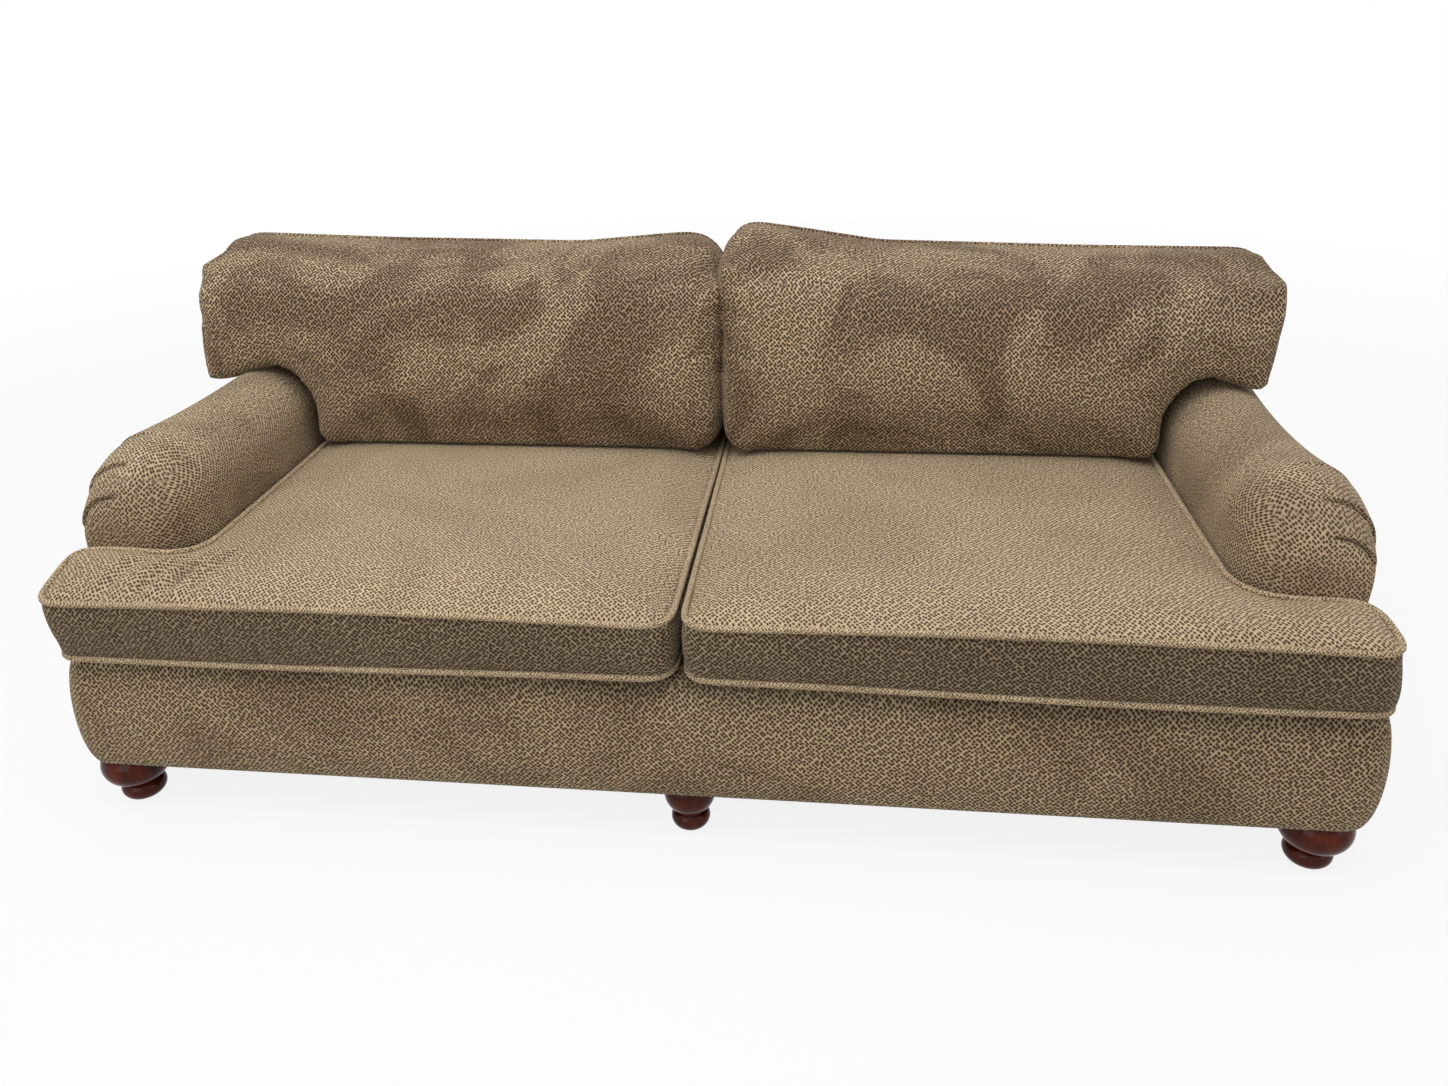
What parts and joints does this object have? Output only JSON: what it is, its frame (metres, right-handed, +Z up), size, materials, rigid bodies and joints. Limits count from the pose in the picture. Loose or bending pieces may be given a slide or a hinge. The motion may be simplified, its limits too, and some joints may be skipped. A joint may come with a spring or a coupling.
{
  "type": "two-cushion sofa",
  "caption": "Upholstered sofa with rolled arms, loose T-shaped seat and back cushions and turned bun feet.",
  "frame": {"origin": "on the floor, under the middle of the sofa's bounding box", "axes": "+X to the right seen from the front, +Y from the front to the back, +Z up"},
  "size_m": [2.25, 0.9994, 0.8883],
  "materials": {
    "brown_chenille": "pebbled chenille",
    "foam": "open-cell foam and fibre",
    "frame_timber": "sawn",
    "foot_mahogany": "gloss lacquer",
    "spring_steel": "oiled wire",
    "webbing": "woven",
    "deck_cloth": "plain weave",
    "dust_cloth": "non-woven",
    "insert_brass": "turned",
    "nylon": "moulded"
  },
  "bodies": {
    "frame": {"front_rail": "frame_timber", "back_rail": "frame_timber", "cross_stretchers": "frame_timber", "corner_plates": "frame_timber", "center_plates": "frame_timber", "front_edge_roll": "frame_timber", "top_back_rail": "frame_timber", "back_seat_beam": "frame_timber", "center_back_post": "frame_timber", "left_side_rail": "frame_timber", "left_arm_lower_rail": "frame_timber", "left_arm_post": "frame_timber", "left_arm_rail": "frame_timber", "left_back_post": "frame_timber", "right_side_rail": "frame_timber", "right_arm_lower_rail": "frame_timber", "right_arm_post": "frame_timber", "right_arm_rail": "frame_timber", "right_back_post": "frame_timber", "seat_springs": "spring_steel", "front_spring_clips": "spring_steel", "rear_spring_clips": "spring_steel", "foot_bolts": "spring_steel", "front_border_cover": "brown_chenille", "inside_back": "brown_chenille", "outside_back": "brown_chenille", "left_arm_cover": "brown_chenille", "left_outside_arm": "brown_chenille", "right_arm_cover": "brown_chenille", "right_outside_arm": "brown_chenille", "front_border_padding": "foam", "left_arm_padding": "foam", "right_arm_padding": "foam", "front_left_foot": "foot_mahogany", "front_center_foot": "foot_mahogany", "front_right_foot": "foot_mahogany", "rear_left_foot": "foot_mahogany", "rear_center_foot": "foot_mahogany", "rear_right_foot": "foot_mahogany", "back_webbing": "webbing", "seat_deck": "deck_cloth", "dust_cover": "dust_cloth", "foot_inserts": "insert_brass", "foot_glides": "nylon"},
    "left_seat_cushion": {"left_seat_cover": "brown_chenille", "left_seat_core": "foam", "left_seat_welts": "brown_chenille", "left_seat_zipper": "nylon"},
    "left_back_cushion": {"left_back_cover": "brown_chenille", "left_back_fill": "foam", "left_back_welt": "brown_chenille"},
    "right_seat_cushion": {"right_seat_cover": "brown_chenille", "right_seat_core": "foam", "right_seat_welts": "brown_chenille", "right_seat_zipper": "nylon"},
    "right_back_cushion": {"right_back_cover": "brown_chenille", "right_back_fill": "foam", "right_back_welt": "brown_chenille"}
  },
  "joints": [
    {"name": "left_seat_slide", "type": "slide", "parent": "frame", "child": "left_seat_cushion", "axis": [0, -1, 0], "range_m": [0, 0.7]},
    {"name": "left_back_lift", "type": "slide", "parent": "frame", "child": "left_back_cushion", "axis": [0, 0, 1], "range_m": [0, 0.45]},
    {"name": "right_seat_slide", "type": "slide", "parent": "frame", "child": "right_seat_cushion", "axis": [0, -1, 0], "range_m": [0, 0.7]},
    {"name": "right_back_lift", "type": "slide", "parent": "frame", "child": "right_back_cushion", "axis": [0, 0, 1], "range_m": [0, 0.45]}
  ]
}
